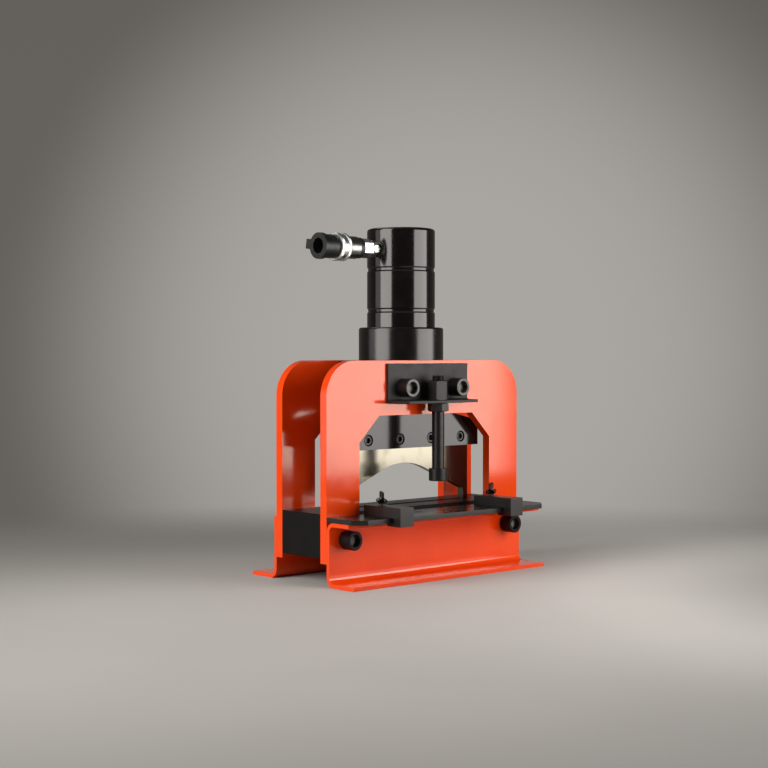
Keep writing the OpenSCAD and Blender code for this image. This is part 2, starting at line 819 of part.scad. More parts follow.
// The arched opening under the cutting edge: a round crown running into straight flanks
module blade_arch() {
  leg_x = blade_w / 2 - leg_w;
  flank_x = edge_r * sin(edge_angle);
  flank_z = crown_z - edge_r * (1 - cos(edge_angle));
  leg_z = flank_z - (leg_x - flank_x) * tan(edge_angle);
  polygon([
    [-leg_x, 0], [-leg_x, leg_z], [-flank_x, flank_z], [flank_x, flank_z], [leg_x, leg_z], [leg_x, 0]
  ]);
  translate([0, crown_z - edge_r]) circle(edge_r, $fn = 256);
}

module shear_blade() {
  leg_bottom = die_top - leg_entry;
  color(bright_steel) at_axis() difference() {
    upright(blade_t / 2, blade_t) difference() {
      translate([-blade_w / 2, leg_bottom]) square([blade_w, blade_top - leg_bottom]);
      blade_arch();
    }
    at_blade_screws() rod_y(0, 0, 0, holder_t, holder_screw_d / 2 + hole_gap / 2);
  }
}

module blade_screws() {
  color(black_oxide) at_axis() at_blade_screws()
    translate([0, blade_screw_sink, 0]) rotate([90, 0, 0]) cap_screw(holder_screw_d, blade_screw_l);
}

module hold_down_screw() {
  color(black_oxide) at_axis() translate([0, hold_y, hold_foot + hold_screw_d])
    rotate([180, 0, 0]) cap_screw(hold_screw_d, hold_screw_l);
}

module hold_down_nut() {
  color(black_oxide) at_axis() translate([0, hold_y, angle_bottom + angle_t])
    rotate([0, 0, hold_nut_turn]) hex_nut(1.5 * hold_screw_d, hold_nut_h, hold_screw_d / 2 + thread_gap);
}

module hold_down_lock_nut() {
  color(black_oxide) at_axis() translate([0, hold_y, angle_bottom - lock_nut_h])
    rotate([0, 0, lock_nut_turn]) hex_nut(1.5 * hold_screw_d, lock_nut_h, hold_screw_d / 2 + thread_gap);
}

// A side guide that lies on the table and hooks round its front edge
module side_guide(x) {
  guide_rear = plate_face + guide_back;
  lip_top = bracket_h - slide_gap;
  hook_rear = table_front + slide_gap;
  color(black_paint) at_axis() difference() {
    translate([x + guide_w / 2, 0, 0]) rotate([90, 0, -90]) linear_extrude(guide_w) polygon([
      [guide_rear, table_top], [guide_rear, guide_top], [guide_front, guide_top],
      [guide_front, lip_top - guide_lip_t], [hook_rear - guide_lip, lip_top - guide_lip_t],
      [hook_rear - guide_lip, lip_top], [hook_rear, lip_top], [hook_rear, table_top]
    ]);
    translate([x, wing_y, 0]) cylinder(h = 2 * guide_top, r = wing_screw_d / 2 + thread_gap);
  }
}

module left_guide() {
  side_guide(-left_guide_x);
}

module right_guide() {
  side_guide(right_guide_x);
}

// Section across the pressed wings: two sheets side by side that curl into a loop at each foot
module wing_section() {
  loop_r = wing_h / 5;
  for (side = [-1, 1]) {
    translate([side * 0.75 * wing_sheet - wing_sheet / 2, loop_r]) square([wing_sheet, wing_h - loop_r]);
    translate([side * (loop_r + wing_sheet / 4), loop_r]) difference() {
      circle(loop_r, $fn = 32);
      circle(loop_r - wing_sheet, $fn = 32);
    }
  }
}

// A wing screw that bears on the table through its guide
module wing_screw(x, turn) {
  color(black_oxide) at_axis() translate([x, wing_y, guide_top]) {
    translate([0, 0, slide_gap - guide_h])
      cylinder(h = guide_h + wing_seat + wing_h / 2, r = wing_screw_d / 2);
    translate([0, 0, wing_seat / 2]) cylinder(h = wing_seat / 2 + wing_h / 5, r = 0.6 * wing_screw_d);
    translate([0, 0, wing_seat]) rotate([0, 0, -turn]) intersection() {
      translate([0, wing_span / 2, 0]) rotate([90, 0, 0]) linear_extrude(wing_span) wing_section();
      rotate([90, 0, 90]) translate([0, 0, -wing_h]) linear_extrude(2 * wing_h) polygon([
        [-0.22 * wing_span, 0], [0.22 * wing_span, 0], [0.5 * wing_span, 0.5 * wing_h],
        [0.5 * wing_span, 0.8 * wing_h], [0.38 * wing_span, wing_h], [0.2 * wing_span, wing_h],
        [0, 0.5 * wing_h], [-0.2 * wing_span, wing_h], [-0.38 * wing_span, wing_h],
        [-0.5 * wing_span, 0.8 * wing_h], [-0.5 * wing_span, 0.5 * wing_h]
      ]);
    }
  }
}

module left_wing_screw() {
  wing_screw(-left_guide_x, wing_turn);
}

module right_wing_screw() {
  wing_screw(right_guide_x, wing_turn + wing_turn_step);
}

module port_adapter() {
  color(plated_steel) at_port() difference() {
    union() {
      translate([0, 0, barrel_d / 2 - port_thread_l + slide_gap])
        cylinder(h = neck_l + port_thread_l - slide_gap + eps, r = neck_d / 2);
      translate([0, 0, neck_end]) hex_bar(adapter_af, adapter_l);
      translate([0, 0, adapter_end - eps]) cylinder(h = adapter_thread_l, r = adapter_thread_d / 2);
    }
    cylinder(h = cap_end, r = oilway_d / 2);
  }
}

module coupler_body() {
  color(plated_steel) at_port() rotate_extrude() difference() {
    union() {
      translate([0, adapter_end]) square([band_d / 2, band_l + eps]);
      translate([0, body_start]) turned_profile(coupler_d / 2, coupler_l, coupler_edge_r);
      translate([0, body_end - eps]) square([nose_r, sleeve_web + sleeve_play + slide_gap + eps]);
      translate([0, sleeve_start + sleeve_web + slide_gap]) square([nose_r + nose_lip, nose_lip_t]);
      translate([0, sleeve_start + sleeve_web + nose_lip_t]) square([nose_tip_r, nose_tip_l]);
    }
    translate([-1, adapter_end - 1]) square([adapter_thread_d / 2 + thread_gap + 1, adapter_thread_l + 1.5]);
    translate([-1, adapter_end]) square([valve_r + slide_gap + 1, valve_shoulder - adapter_end]);
    translate([-1, adapter_end]) square([oilway_d / 2 + 1, cap_end]);
  }
}

module coupler_sleeve() {
  hollow_r = (sleeve_groove_w * sleeve_groove_w / 4 + sleeve_groove_depth * sleeve_groove_depth)
    / (2 * sleeve_groove_depth);
  color(plated_steel) at_port() translate([0, 0, sleeve_start]) rotate_extrude() difference() {
    turned_profile(sleeve_d / 2, sleeve_l, 1);
    translate([-1, -1]) square([nose_r + fit_gap + 1, sleeve_l + 2]);
    translate([-1, sleeve_web]) square([sleeve_bore_r + 1, sleeve_l]);
    translate([sleeve_d / 2 - sleeve_groove_depth + hollow_r, sleeve_l / 2]) circle(hollow_r, $fn = 128);
  }
}

module coupler_valve() {
  color(bright_steel) at_port() translate([0, 0, valve_shoulder - valve_l]) {
    cylinder(h = valve_l, r = valve_r);
    translate([0, 0, valve_l - eps]) cylinder(h = 4, r = oilway_d / 2 - slide_gap);
  }
}

module valve_spring() {
  start = adapter_end + adapter_thread_l;
  color(spring_steel) at_port() translate([0, 0, start])
    coil_spring(valve_r - 1, 0.8, 5, valve_shoulder - valve_l - start);
}

module dust_cap() {
  plug_start = sleeve_end - cap_plug_l;
  cap_start = sleeve_end + slide_gap;
  color(cap_plastic) at_port() difference() {
    union() {
      translate([0, 0, plug_start]) cylinder(h = cap_plug_l + 1, r = sleeve_bore_r - slide_gap);
      translate([0, 0, cap_start]) cylinder(h = cap_end - cap_start, r = cap_d / 2);
      translate([0, 0, cap_end - cap_flange_t]) cylinder(h = cap_flange_t, r = cap_flange_d / 2);
      rotate([0, 0, -lug_turn]) translate([-lug_w / 2, 0, cap_end - cap_flange_t])
        cube([lug_w, cap_flange_d / 2 + lug_reach, cap_flange_t]);
    }
    translate([0, 0, cap_end - cap_hollow_depth]) cylinder(h = cap_hollow_depth + 1, r = cap_hollow_d / 2);
    translate([0, 0, plug_start - 1]) cylinder(h = cap_plug_l + 3, r = nose_tip_r + 2 * slide_gap);
  }
}

front_frame_plate();
rear_frame_plate();
front_foot_bracket();
rear_foot_bracket();
front_table();
table_screws();
die_block();
head_block();
hold_down_bracket();
upper_front_screws();
upper_rear_screws();
lower_screws();
lock_washers();
cylinder_barrel();
cylinder_collar();
rod_bush();
rod_wiper();
return_spring();
piston();
piston_seal();
piston_wear_ring();
piston_nut();
piston_rod();
blade_holder();
holder_screws();
shear_blade();
blade_screws();
hold_down_screw();
hold_down_nut();
hold_down_lock_nut();
left_guide();
right_guide();
left_wing_screw();
right_wing_screw();
port_adapter();
coupler_body();
coupler_sleeve();
coupler_valve();
valve_spring();
dust_cap();
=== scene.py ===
"""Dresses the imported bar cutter: softened edges, screws, springs, finishes, floor, light and camera."""
import json
import math

import bmesh
import bpy
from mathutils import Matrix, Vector


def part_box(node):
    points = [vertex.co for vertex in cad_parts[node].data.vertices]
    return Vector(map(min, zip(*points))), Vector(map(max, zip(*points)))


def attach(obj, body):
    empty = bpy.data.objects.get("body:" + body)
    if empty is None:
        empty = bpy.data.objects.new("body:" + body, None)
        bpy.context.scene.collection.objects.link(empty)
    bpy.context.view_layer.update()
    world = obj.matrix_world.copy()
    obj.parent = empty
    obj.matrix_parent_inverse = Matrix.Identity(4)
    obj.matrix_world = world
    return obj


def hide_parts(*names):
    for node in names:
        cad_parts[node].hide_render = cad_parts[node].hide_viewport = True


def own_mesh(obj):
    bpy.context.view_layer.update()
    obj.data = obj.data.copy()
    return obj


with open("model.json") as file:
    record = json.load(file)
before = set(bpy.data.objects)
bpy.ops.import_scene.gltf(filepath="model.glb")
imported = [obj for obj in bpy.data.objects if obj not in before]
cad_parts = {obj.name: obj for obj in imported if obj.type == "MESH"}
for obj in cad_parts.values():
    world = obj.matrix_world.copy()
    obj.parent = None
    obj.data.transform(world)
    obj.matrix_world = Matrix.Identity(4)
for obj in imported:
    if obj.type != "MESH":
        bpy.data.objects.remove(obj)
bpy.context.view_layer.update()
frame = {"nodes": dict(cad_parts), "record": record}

MM = 0.001
SLOT_OF = {part["node"]: part["material_slot"] for part in frame["record"]["subparts"]}
BODY_OF = {
    node: body
    for body, nodes in frame["record"]["behaviour"]["bodies"].items()
    for node in nodes
}


class Value:
    """One output of a shader node. Arithmetic on it adds Math nodes."""

    def __init__(self, shades, socket):
        self.shades = shades
        self.socket = socket

    def math(self, operation, first, second):
        return self.shades.node("ShaderNodeMath", {"operation": operation}, {0: first, 1: second})

    def __add__(self, other):
        return self.math("ADD", self, other)

    __radd__ = __add__

    def __sub__(self, other):
        return self.math("SUBTRACT", self, other)

    def __rsub__(self, other):
        return self.math("SUBTRACT", other, self)

    def __mul__(self, other):
        return self.math("MULTIPLY", self, other)

    __rmul__ = __mul__


class Shades:
    """A node tree, with one method that adds any node to it."""

    def __init__(self, owner, source, place):
        owner.use_nodes = True
        self.owner = owner
        self.tree = owner.node_tree
        self.tree.nodes.clear()
        self.place = self.node(source, out=place)

    def node(self, kind, settings=None, sockets=None, out=0):
        """Adds a node: its settings first, then a value or a link for each socket."""
        made = self.tree.nodes.new(kind)
        for name, value in (settings or {}).items():
            setattr(made, name, value)
        for name, value in (sockets or {}).items():
            if isinstance(value, Value):
                self.tree.links.new(value.socket, made.inputs[name])
            else:
                made.inputs[name].default_value = value
        return Value(self, made.outputs[out]) if made.outputs else None

    def grain(self, size, detail=3.0, stretch=(1.0, 1.0, 1.0)):
        """Noise with features about this many metres across, drawn out along an axis by its stretch."""
        scale = [1.0 / (size * s) for s in stretch]
        spot = self.node("ShaderNodeVectorMath", {"operation": "MULTIPLY"}, {0: self.place, 1: scale})
        return self.node("ShaderNodeTexNoise", {}, {"Vector": spot, "Scale": 1.0, "Detail": detail})

    def measure(self, operation, other):
        """A number worked out from the place and another vector."""
        sockets = {0: self.place, 1: other}
        return self.node("ShaderNodeVectorMath", {"operation": operation}, sockets, out="Value")

    def towards(self, direction):
        """How far the place lies along a direction."""
        return self.measure("DOT_PRODUCT", direction)

    def distance(self, spot):
        """How far the place lies from a spot."""
        return self.measure("DISTANCE", spot)

    def between(self, value, low, high):
        """Runs smoothly from 0 at low to 1 at high."""
        sockets = {"Value": value, "From Min": low, "From Max": high}
        return self.node("ShaderNodeMapRange", {"interpolation_type": "SMOOTHSTEP"}, sockets)

    def blend(self, share, first, second):
        """A colour that goes from first to second as share goes from 0 to 1."""
        settings = {"data_type": "RGBA", "clamp_factor": True}
        return self.node("ShaderNodeMix", settings, {0: share, 6: first, 7: second}, out=2)

    def bump(self, height, depth):
        """The surface's normal where height 1 stands this many metres over height 0."""
        return self.node("ShaderNodeBump", {}, {"Height": height, "Distance": depth, "Strength": 1.0})


class Finish(Shades):
    """The node tree of one material."""

    def __init__(self, name):
        super().__init__(bpy.data.materials.new(name), "ShaderNodeTexCoord", "Object")

    def surface(self, **sockets):
        """Ends the tree in a Principled shader and gives back the material."""
        named = {name.replace("_", " "): value for name, value in sockets.items()}
        shader = self.node("ShaderNodeBsdfPrincipled", {}, named)
        self.node("ShaderNodeOutputMaterial", {}, {"Surface": shader})
        return self.owner


def rgb(red, green, blue):
    """A colour given as it looks on screen, 0 to 255, in the linear values that shaders use."""
    linear = []
    for channel in (red, green, blue):
        share = channel / 255
        linear.append(share / 12.92 if share <= 0.04045 else ((share + 0.055) / 1.055) ** 2.4)
    return (*linear, 1.0)


def grey(shade):
    """A neutral colour as it looks on screen."""
    return rgb(shade, shade, shade)


WARM_SHINE = (1.0, 0.94, 0.89, 1.0)
RUB_DEPTH = 0.3 * MM
WORN_REACH = 8 * MM
WORN_CORE = 5 * MM


def orange_enamel():
    """Glossy paint on the plates and feet, with the skin of a sprayed coat."""
    paint = Finish("orange_enamel")
    peel = paint.grain(2.6 * MM, detail=1.0)
    cloud = paint.between(paint.grain(60 * MM), 0.35, 0.65)
    smear = paint.between(paint.grain(22 * MM, detail=5.0, stretch=(1.0, 1.0, 2.2)), 0.52, 0.72)
    return paint.surface(
        Base_Color=paint.blend(cloud, rgb(220, 61, 7), rgb(225, 65, 9)),
        Roughness=0.11 + smear * 0.08,
        IOR=1.55,
        Specular_Tint=(1.0, 0.93, 0.78, 1.0),
        Normal=paint.bump(peel, 0.016 * MM),
    )


def black_enamel(name, roughness, shade, ior, rub_height=None, rub=0.0):
    """Black paint: low roughness for the barrel, more for the satin and matt parts.

    A part that bars slide over loses this share of its roughness above a height.
    """
    paint = Finish(name)
    peel = paint.grain(1.8 * MM, detail=2.0)
    smear = paint.between(paint.grain(18 * MM, detail=6.0), 0.45, 0.75)
    dust = paint.between(paint.grain(0.7 * MM, detail=2.0), 0.66, 0.74)
    tone = paint.blend(smear, rgb(shade + 1, shade, shade - 1), rgb(shade + 6, shade + 3, shade + 1))
    texture = roughness * (0.94 + smear * 0.16)
    if rub_height is not None:
        height = paint.towards((0.0, 0.0, 1.0))
        rubbed = paint.between(height, rub_height - RUB_DEPTH, rub_height)
        texture = texture * (1.0 - rubbed * rub)
    return paint.surface(
        Base_Color=paint.blend(dust * 0.2, tone, rgb(82, 80, 76)),
        Roughness=texture,
        IOR=ior,
        Specular_Tint=WARM_SHINE,
        Normal=paint.bump(peel, 0.008 * MM),
    )


def blackened_steel(name, ior, worn_spots=()):
    """Oiled black oxide on the screws and nuts, rubbed bright round the worn spots."""
    steel = Finish(name)
    pits = steel.grain(0.5 * MM, detail=3.0)
    oil = steel.between(steel.grain(9 * MM, detail=4.0), 0.4, 0.7)
    tone = steel.blend(oil, rgb(10, 9, 8), rgb(20, 18, 16))
    for spot in worn_spots:
        rub = steel.between(steel.distance(spot), WORN_REACH, WORN_CORE)
        tone = steel.blend(rub, tone, rgb(122, 117, 110))
    return steel.surface(
        Base_Color=tone,
        Roughness=0.40 - oil * 0.08,
        IOR=ior,
        Specular_Tint=WARM_SHINE,
        Normal=steel.bump(pits, 0.006 * MM),
    )


def ground_steel():
    """The blade and the rod: ground, with fine lines along the stroke and a film of oil in patches."""
    steel = Finish("ground_steel")
    lines = steel.grain(0.25 * MM, detail=2.0, stretch=(1.0, 1.0, 60.0))
    film = steel.between(steel.grain(24 * MM, detail=5.0, stretch=(1.0, 1.0, 1.6)), 0.46, 0.74)
    return steel.surface(
        Base_Color=steel.blend(film, rgb(121, 115, 101), rgb(111, 104, 88)),
        Metallic=1.0,
        Roughness=0.13 + lines * 0.05 + film * 0.05,
        Normal=steel.bump(lines, 0.004 * MM),
    )


def bright_plate(name, light, dark, band_start=None):
    """Plated steel on the coupler. With a band, it is black from there towards the barrel."""
    plate = Finish(name)
    turned = plate.grain(0.3 * MM, detail=2.0, stretch=(1.0, 30.0, 30.0))
    haze = plate.between(plate.grain(5 * MM, detail=4.0), 0.4, 0.75)
    zinc = plate.blend(haze, light, dark)
    zinc_roughness = 0.26 + haze * 0.08 + turned * 0.05
    relief = plate.bump(turned, 0.003 * MM)
    if band_start is None:
        return plate.surface(Base_Color=zinc, Metallic=1.0, Roughness=zinc_roughness, Normal=relief)
    along = plate.towards((1.0, 0.0, 0.0))
    band = plate.between(along, band_start - BAND_FADE, band_start + BAND_FADE)
    return plate.surface(
        Base_Color=plate.blend(band, zinc, rgb(17, 17, 16)),
        Metallic=1.0 - band,
        Roughness=zinc_roughness + band * 0.15,
        Normal=relief,
    )


def plain_metal(name, light, dark, roughness):
    """Machined metal for the parts inside."""
    metal = Finish(name)
    lines = metal.grain(0.4 * MM, detail=2.0, stretch=(20.0, 20.0, 1.0))
    stain = metal.between(metal.grain(8 * MM, detail=4.0), 0.4, 0.7)
    return metal.surface(
        Base_Color=metal.blend(stain, light, dark),
        Metallic=1.0,
        Roughness=roughness + stain * 0.1,
        Normal=metal.bump(lines, 0.004 * MM),
    )


def moulded(name, light, dark, roughness):
    """Plastic or rubber with a fine moulded grain."""
    plastic = Finish(name)
    skin = plastic.grain(0.6 * MM, detail=3.0)
    scuff = plastic.between(plastic.grain(7 * MM, detail=5.0), 0.45, 0.7)
    return plastic.surface(
        Base_Color=plastic.blend(scuff, dark, light),
        Roughness=roughness + scuff * 0.08,
        IOR=1.4,
        Normal=plastic.bump(skin, 0.010 * MM),
    )


BAND_LENGTH = 7.5 * MM
BAND_FADE = 0.2 * MM
HEAD_RADIUS = 12 * MM
SOCKET_DEPTH = 8 * MM


def top_of(node):
    """The height of a node's top face."""
    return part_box(node)[1][2]


def band_edge(node):
    """Where the black band on the coupler's body begins, measured to the right."""
    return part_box(node)[1][0] - BAND_LENGTH


def socket_floors(node):
    """The middle of each socket's floor in a node that holds a row of frame screws."""
    low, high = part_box(node)
    middle = (low[2] + high[2]) / 2
    rows = [low[1] + SOCKET_DEPTH, high[1] - SOCKET_DEPTH]
    return [(x, y, middle) for x in (low[0] + HEAD_RADIUS, high[0] - HEAD_RADIUS) for y in rows]


FINISH_OF_SLOT = {
    "orange_paint": orange_enamel(),
    "black_table": black_enamel("guide_black", 0.36, 8, 1.5),
    "satin_black": black_enamel("satin_black", 0.22, 7, 1.5),
    "gloss_black": black_enamel("barrel_black", 0.14, 6, 1.52),
    "black_oxide": blackened_steel("blackened_steel", 1.55),
    "bright_steel": ground_steel(),
    "plated_steel": bright_plate("bright_plate", rgb(218, 217, 212), rgb(190, 189, 183)),
    "spring_steel": plain_metal("spring_wire", grey(152), grey(112), 0.3),
    "bronze": plain_metal("bearing_bronze", rgb(206, 170, 112), rgb(170, 132, 80), 0.3),
    "seal_rubber": moulded("seal_rubber", grey(44), grey(32), 0.6),
    "cap_plastic": moulded("cap_plastic", rgb(26, 25, 24), rgb(18, 18, 17), 0.40),
}
FINISH_OF_NODE = {
    "hold_down_bracket": black_enamel("bracket_black", 0.62, 22, 1.45),
    "front_table": black_enamel("table_black", 0.36, 9, 1.5, top_of("front_table"), 0.22),
    "blade_holder": black_enamel("holder_black", 0.14, 8, 1.44),
    "die_block": black_enamel("die_black", 0.62, 12, 1.2, top_of("die_block"), 0.45),
    "hold_down_screw": blackened_steel("hold_down_steel", 1.36),
    "coupler_body": bright_plate(
        "banded_plate", rgb(126, 125, 121), rgb(108, 107, 103), band_edge("coupler_body")
    ),
}
for screws, steel_name, shine in (
    ("upper_front_screws", "upper_front_steel", 1.55),
    ("upper_rear_screws", "upper_rear_steel", 1.55),
    ("lower_screws", "lower_steel", 1.27),
):
    FINISH_OF_NODE[screws] = blackened_steel(steel_name, shine, socket_floors(screws))


def finish_of(node):
    """A node's own finish, or else that of its material slot."""
    return FINISH_OF_NODE.get(node, FINISH_OF_SLOT[SLOT_OF[node]])


EDGE_MM = {
    "front_frame_plate": 0.8,
    "rear_frame_plate": 0.8,
    "front_foot_bracket": 0.6,
    "rear_foot_bracket": 0.6,
    "front_table": 0.5,
    "die_block": 0.8,
    "head_block": 0.8,
    "hold_down_bracket": 0.5,
    "cylinder_barrel": 0.25,
    "blade_holder": 0.6,
    "shear_blade": 0.2,
    "left_guide": 0.6,
    "right_guide": 0.6,
    "dust_cap": 0.6,
    "upper_front_screws": 0.3,
    "upper_rear_screws": 0.3,
    "lower_screws": 0.3,
    "lock_washers": 0.2,
    "hold_down_nut": 0.3,
    "hold_down_lock_nut": 0.3,
    "coupler_body": 0.3,
    "left_wing_screw": 0.2,
    "right_wing_screw": 0.2,
}
FLAT_ANGLE = math.radians(1.0)
CREASE_ANGLE = math.radians(28)
WELD = 0.002 * MM
EDGE_STEPS = 2


def round_edges(form, radius):
    """Rounds a shape's sharp edges to this radius."""
    sharp = [e for e in form.edges if e.is_manifold and e.calc_face_angle() > CREASE_ANGLE]
    bmesh.ops.bevel(
        form, geom=sharp, offset=radius, offset_type="OFFSET", segments=EDGE_STEPS, profile=0.5,
        affect="EDGES", clamp_overlap=True,
    )


def softened(node, radius):
    """A copy of a CAD node's shape with its sharp edges rounded to this radius."""
    form = bmesh.new()
    form.from_mesh(frame["nodes"][node].data)
    bmesh.ops.remove_doubles(form, verts=form.verts, dist=WELD)
    bmesh.ops.dissolve_limit(form, angle_limit=FLAT_ANGLE, verts=form.verts, edges=form.edges)
    round_edges(form, radius)
    return form


def piece_from(form, name, node):
    """Makes a shape an object that stands for a CAD node, in its finish and on its body."""
    for face in form.faces:
        face.smooth = True
    mesh = bpy.data.meshes.new(name)
    form.to_mesh(mesh)
    form.free()
    mesh.materials.append(finish_of(node))
    piece = bpy.data.objects.new(name, mesh)
    bpy.context.scene.collection.objects.link(piece)
    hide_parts(node)
    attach(piece, BODY_OF[node])
    return piece


def flatten_normals(piece):
    """Lets the large faces set the shading, so that only the rounded edges turn the light."""
    normals = piece.modifiers.new("flat_faces", "WEIGHTED_NORMAL")
    normals.keep_sharp = True


def skin_rings(form, rings, loop=False):
    """Adds rings of points to a shape, with faces from each ring to the next."""
    rows = [[form.verts.new(spot) for spot in ring] for ring in rings]
    pairs = list(zip(rows, rows[1:]))
    if loop:
        pairs.append((rows[-1], rows[0]))
    for lower, upper in pairs:
        for i in range(len(lower)):
            j = (i + 1) % len(lower)
            form.faces.new((lower[i], lower[j], upper[j], upper[i]))
    return rows


for node, edge in EDGE_MM.items():
    flatten_normals(piece_from(softened(node, edge * MM), "soft_" + node, node))


def box_of(node):
    """The lowest and highest corner of a node."""
    low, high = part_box(node)
    return Vector(low), Vector(high)


SMALL_EDGE = 0.3 * MM
THREAD_LENGTH = 44 * MM
THREAD_PITCH = 2 * MM
THREAD_DEPTH = 1.1 * MM
THREAD_TIP = 1.2 * MM
THREAD_CREST = 0.12
THREAD_FLANK = 0.68
ROWS_PER_PITCH = 6
THREAD_SIDES = 48


def threaded_screw(node):
    """The hold-down screw, with a real thread cut into the upper part of its shank."""
    low, high = box_of(node)
    middle = (low + high) / 2
    form = softened(node, SMALL_EDGE)
    start = high.z - THREAD_LENGTH
    everything = form.verts[:] + form.edges[:] + form.faces[:]
    bmesh.ops.bisect_plane(
        form, geom=everything, plane_co=(0, 0, start), plane_no=(0, 0, 1), clear_outer=True
    )
    shank_rim = [edge for edge in form.edges if edge.is_boundary]
    shank_r = max((vert.co.xy - middle.xy).length for edge in shank_rim for vert in edge.verts)

    def spot(row, side):
        rise = row * THREAD_PITCH / ROWS_PER_PITCH
        share = side / THREAD_SIDES
        flank = abs(2 * ((rise / THREAD_PITCH - share) % 1.0) - 1)
        run_in = min(1.0, rise / THREAD_PITCH)
        cut = min(1.0, max(0.0, (flank - THREAD_CREST) / THREAD_FLANK)) * run_in
        tip = max(0.0, rise - THREAD_LENGTH + THREAD_TIP)
        r = min(shank_r - THREAD_DEPTH * cut, shank_r - tip)
        turn = 2 * math.pi * share
        return middle.x + r * math.cos(turn), middle.y + r * math.sin(turn), start + rise

    row_count = round(THREAD_LENGTH / THREAD_PITCH * ROWS_PER_PITCH)
    rings = [[spot(row, side) for side in range(THREAD_SIDES)] for row in range(row_count + 1)]
    rows = skin_rings(form, rings)
    form.faces.new(rows[-1])
    thread_rim = [edge for vert in rows[0] for edge in vert.link_edges if edge.is_boundary]
    bmesh.ops.bridge_loops(form, edges=list(set(shank_rim + thread_rim)))
    bmesh.ops.recalc_face_normals(form, faces=form.faces)
    flatten_normals(piece_from(form, "threaded_" + node, node))


threaded_screw("hold_down_screw")

NECK_FLATS = 18.7 * MM
NECK_RADIUS = 8.5 * MM
NECK_START = 46.2 * MM
NECK_END = 54.8 * MM
NECK_CHAMFER = 1.6 * MM
NECK_SIDES = 48


def faceted_adapter(node):
    """The port adapter, with a small hexagon on its neck that lies in line with the large one."""
    low, high = box_of(node)
    middle = (low + high) / 2
    form = softened(node, SMALL_EDGE)
    arms = [vert.co - middle for vert in form.verts]
    corner = max(arms, key=lambda arm: arm.yz.length)
    corner_turn = math.atan2(corner.z, corner.y)

    def ring(x, reach):
        spots = []
        for k in range(NECK_SIDES):
            lean = (2 * math.pi * k / NECK_SIDES) % (math.pi / 3) - math.pi / 6
            r = min(NECK_FLATS / 2 / math.cos(lean), reach)
            turn = corner_turn + 2 * math.pi * k / NECK_SIDES
            spots.append((-x, middle.y + r * math.cos(turn), middle.z + r * math.sin(turn)))
        return spots

    skin_rings(form, [
        ring(NECK_START, NECK_RADIUS), ring(NECK_START, NECK_FLATS / 2),
        ring(NECK_START + NECK_CHAMFER, NECK_FLATS), ring(NECK_END - NECK_CHAMFER, NECK_FLATS),
        ring(NECK_END, NECK_FLATS / 2), ring(NECK_END, NECK_RADIUS),
    ], loop=True)
    bmesh.ops.recalc_face_normals(form, faces=form.faces)
    piece = piece_from(form, "faceted_" + node, node)
    piece.data.set_sharp_from_angle(angle=CREASE_ANGLE)
    flatten_normals(piece)


faceted_adapter("port_adapter")

# Stations on the sleeve, in mm: distance from the cap's end, depth under the rims, depth of the knurl
SLEEVE_OUTSIDE = [
    (0.0, 0.9, 0.0), (0.8, 0.0, 0.22), (4.9, 0.0, 0.22), (5.5, 0.9, 0.0),
    (12.2, 0.9, 0.0), (12.9, 0.0, 0.22), (15.9, 0.0, 0.22), (16.5, 0.8, 0.0),
]
SLEEVE_BORE = 14.3 * MM
SLEEVE_HOLE = 11.05 * MM
SLEEVE_WEB = 3 * MM
KNURL_TEETH = 72
KNURL_POINTS = 3
KNURL_CREASE = math.radians(12)


def knurled_sleeve(node):
    """The coupler's sleeve: two knurled rims, a hollow between them, and a web that holds it."""
    low, high = box_of(node)
    middle = (low + high) / 2
    outer = (high.y - low.y) / 2
    stations = [
        (low.x + along * MM, outer - depth * MM, knurl * MM) for along, depth, knurl in SLEEVE_OUTSIDE
    ]
    stations += [(high.x, SLEEVE_HOLE, 0.0), (high.x - SLEEVE_WEB, SLEEVE_HOLE, 0.0)]
    stations += [(high.x - SLEEVE_WEB, SLEEVE_BORE, 0.0), (low.x, SLEEVE_BORE, 0.0)]

    def ring(x, reach, knurl):
        spots = []
        count = KNURL_POINTS * KNURL_TEETH
        for k in range(count):
            turn = 2 * math.pi * k / count
            in_groove = k % KNURL_POINTS == KNURL_POINTS - 1
            r = reach - (knurl if in_groove else 0.0)
            spots.append((x, middle.y + r * math.cos(turn), middle.z + r * math.sin(turn)))
        return spots

    form = bmesh.new()
    skin_rings(form, [ring(*station) for station in stations], loop=True)
    bmesh.ops.recalc_face_normals(form, faces=form.faces)
    piece = piece_from(form, "knurled_" + node, node)
    piece.data.set_sharp_from_angle(angle=KNURL_CREASE)


knurled_sleeve("coupler_sleeve")

COIL_STEPS = 24
WIRE_SIDES = 10
CLOSED_PITCH = 1.1


